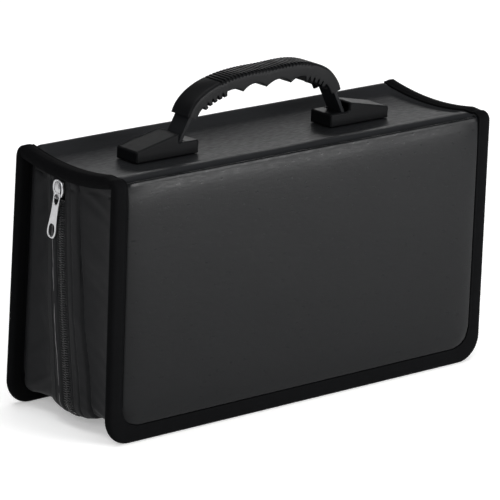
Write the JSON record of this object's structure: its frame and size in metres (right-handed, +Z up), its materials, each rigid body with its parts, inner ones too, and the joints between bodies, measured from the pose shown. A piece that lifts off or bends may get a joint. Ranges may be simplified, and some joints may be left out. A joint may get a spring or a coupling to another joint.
{
  "type": "disc storage case",
  "caption": "Zipped storage case for discs: two padded covers on a dished spine, bound edges, a cloth gusset, a carrying handle and sleeves hanging inside.",
  "frame": {"origin": "on the table, at the middle of the case's length and midway between the two covers", "axes": "+X along the case to the right seen from the front, +Y from the front cover to the rear cover, +Z up"},
  "size_m": [0.32, 0.1032, 0.2103],
  "materials": {
    "leatherette": "black leatherette with a fine pebble grain, satin",
    "spine_leatherette": "black leatherette, smoother and satin",
    "binding": "black ribbed woven tape, matt",
    "lining": "black nylon lining cloth",
    "gusset": "black woven nylon, slightly shiny, creased",
    "zip_tape": "black woven zip tape",
    "zip_coil": "black nylon coil",
    "nickel": "bright nickel plate",
    "moulded_plastic": "black moulded plastic, fine matt",
    "steel": "plain zinc-plated steel",
    "sleeves": "soft clear and black sleeve film"
  },
  "bodies": {
    "spine": {"spine_panel": "spine_leatherette", "spine_binding_left": "binding", "spine_binding_right": "binding", "left_handle_base": "moulded_plastic", "right_handle_base": "moulded_plastic", "left_backing_plate": "steel", "right_backing_plate": "steel", "left_base_screw_1": "steel", "left_base_screw_2": "steel", "right_base_screw_1": "steel", "right_base_screw_2": "steel", "sleeve_strip": "lining", "sleeve_block": "sleeves"},
    "front_half": {"front_cover": "leatherette", "front_binding": "binding", "front_lining": "lining", "front_gusset": "gusset", "front_zip_tape": "zip_tape", "front_zip_coil": "zip_coil"},
    "rear_half": {"rear_cover": "leatherette", "rear_binding": "binding", "rear_lining": "lining", "rear_gusset": "gusset", "rear_zip_tape": "zip_tape", "rear_zip_coil": "zip_coil"},
    "slider": {"zip_slider": "nickel"},
    "pull": {"zip_pull": "nickel"},
    "handle": {"handle_grip": "moulded_plastic"},
    "left_link": {"left_strap": "moulded_plastic"},
    "right_link": {"right_strap": "moulded_plastic"}
  },
  "joints": [
    {"name": "front_cover_hinge", "type": "hinge", "parent": "spine", "child": "front_half", "pos_m": [0, -0.045, 0.165], "axis": [-1, 0, 0], "range_deg": [0, 90]},
    {"name": "rear_cover_hinge", "type": "hinge", "parent": "spine", "child": "rear_half", "pos_m": [0, 0.045, 0.165], "axis": [1, 0, 0], "range_deg": [0, 90]},
    {"name": "zip_slide", "type": "slide", "parent": "rear_half", "child": "slider", "axis": [0, -0.1062, -0.9943], "range_m": [0, 0.118]},
    {"name": "pull_swing", "type": "hinge", "parent": "slider", "child": "pull", "pos_m": [-0.1572, 0.00971, 0.14732], "axis": [0, 0.9882, 0.153], "range_deg": [0, 135]},
    {"name": "handle_drop", "type": "slide", "parent": "spine", "child": "handle", "axis": [0, 0, -1], "range_m": [0, 0.006], "stiffness_N_per_m": 300, "springref_m": -0.004},
    {"name": "left_strap_bend", "type": "hinge", "parent": "handle", "child": "left_link", "pos_m": [-0.06444, 0, 0.18764], "axis": [0, 1, 0], "range_deg": [0, 24]},
    {"name": "right_strap_bend", "type": "hinge", "parent": "handle", "child": "right_link", "pos_m": [0.05744, 0, 0.18764], "axis": [0, -1, 0], "range_deg": [0, 24]}
  ],
  "couplings": [
    {"joint": "left_strap_bend", "follows": "handle_drop", "rad_per_m": 67.619},
    {"joint": "right_strap_bend", "follows": "handle_drop", "rad_per_m": 67.619}
  ]
}
